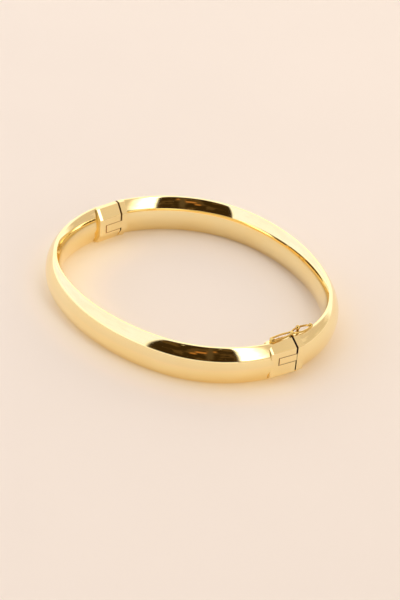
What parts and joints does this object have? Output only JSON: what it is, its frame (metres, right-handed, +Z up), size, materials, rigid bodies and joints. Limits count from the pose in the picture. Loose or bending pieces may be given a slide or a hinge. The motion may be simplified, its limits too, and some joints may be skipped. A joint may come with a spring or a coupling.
{
  "type": "hinged bangle",
  "caption": "Wide oval hinged bangle of hollow polished gold tube with a box clasp and a figure of eight safety catch.",
  "frame": {"origin": "centre of the overall box in plan, on the table that the bangle lies on", "axes": "+X from the hinge to the clasp, +Y from the front half to the back half, +Z up, across the width of the band"},
  "size_m": [0.0674, 0.0566, 0.0101],
  "materials": {
    "gold": "high polish, pale yellow gold"
  },
  "bodies": {
    "front": {"front_half": "gold", "hinge_pin": "gold"},
    "back": {"back_half": "gold"},
    "catch": {"safety_catch": "gold"}
  },
  "joints": [
    {"name": "bangle_hinge", "type": "hinge", "parent": "front", "child": "back", "pos_m": [-0.03279, -0.00063, 0.00422], "axis": [0, 0, 1], "range_deg": [0, 42]},
    {"name": "catch_hinge", "type": "hinge", "parent": "front", "child": "catch", "pos_m": [0.0312, -0.0032, 0.00886], "axis": [0.9986, 0.0523, 0], "range_deg": [0, 168]}
  ],
  "couplings": [
    {"joint": "catch_hinge", "follows": "bangle_hinge", "ratio": 4}
  ]
}
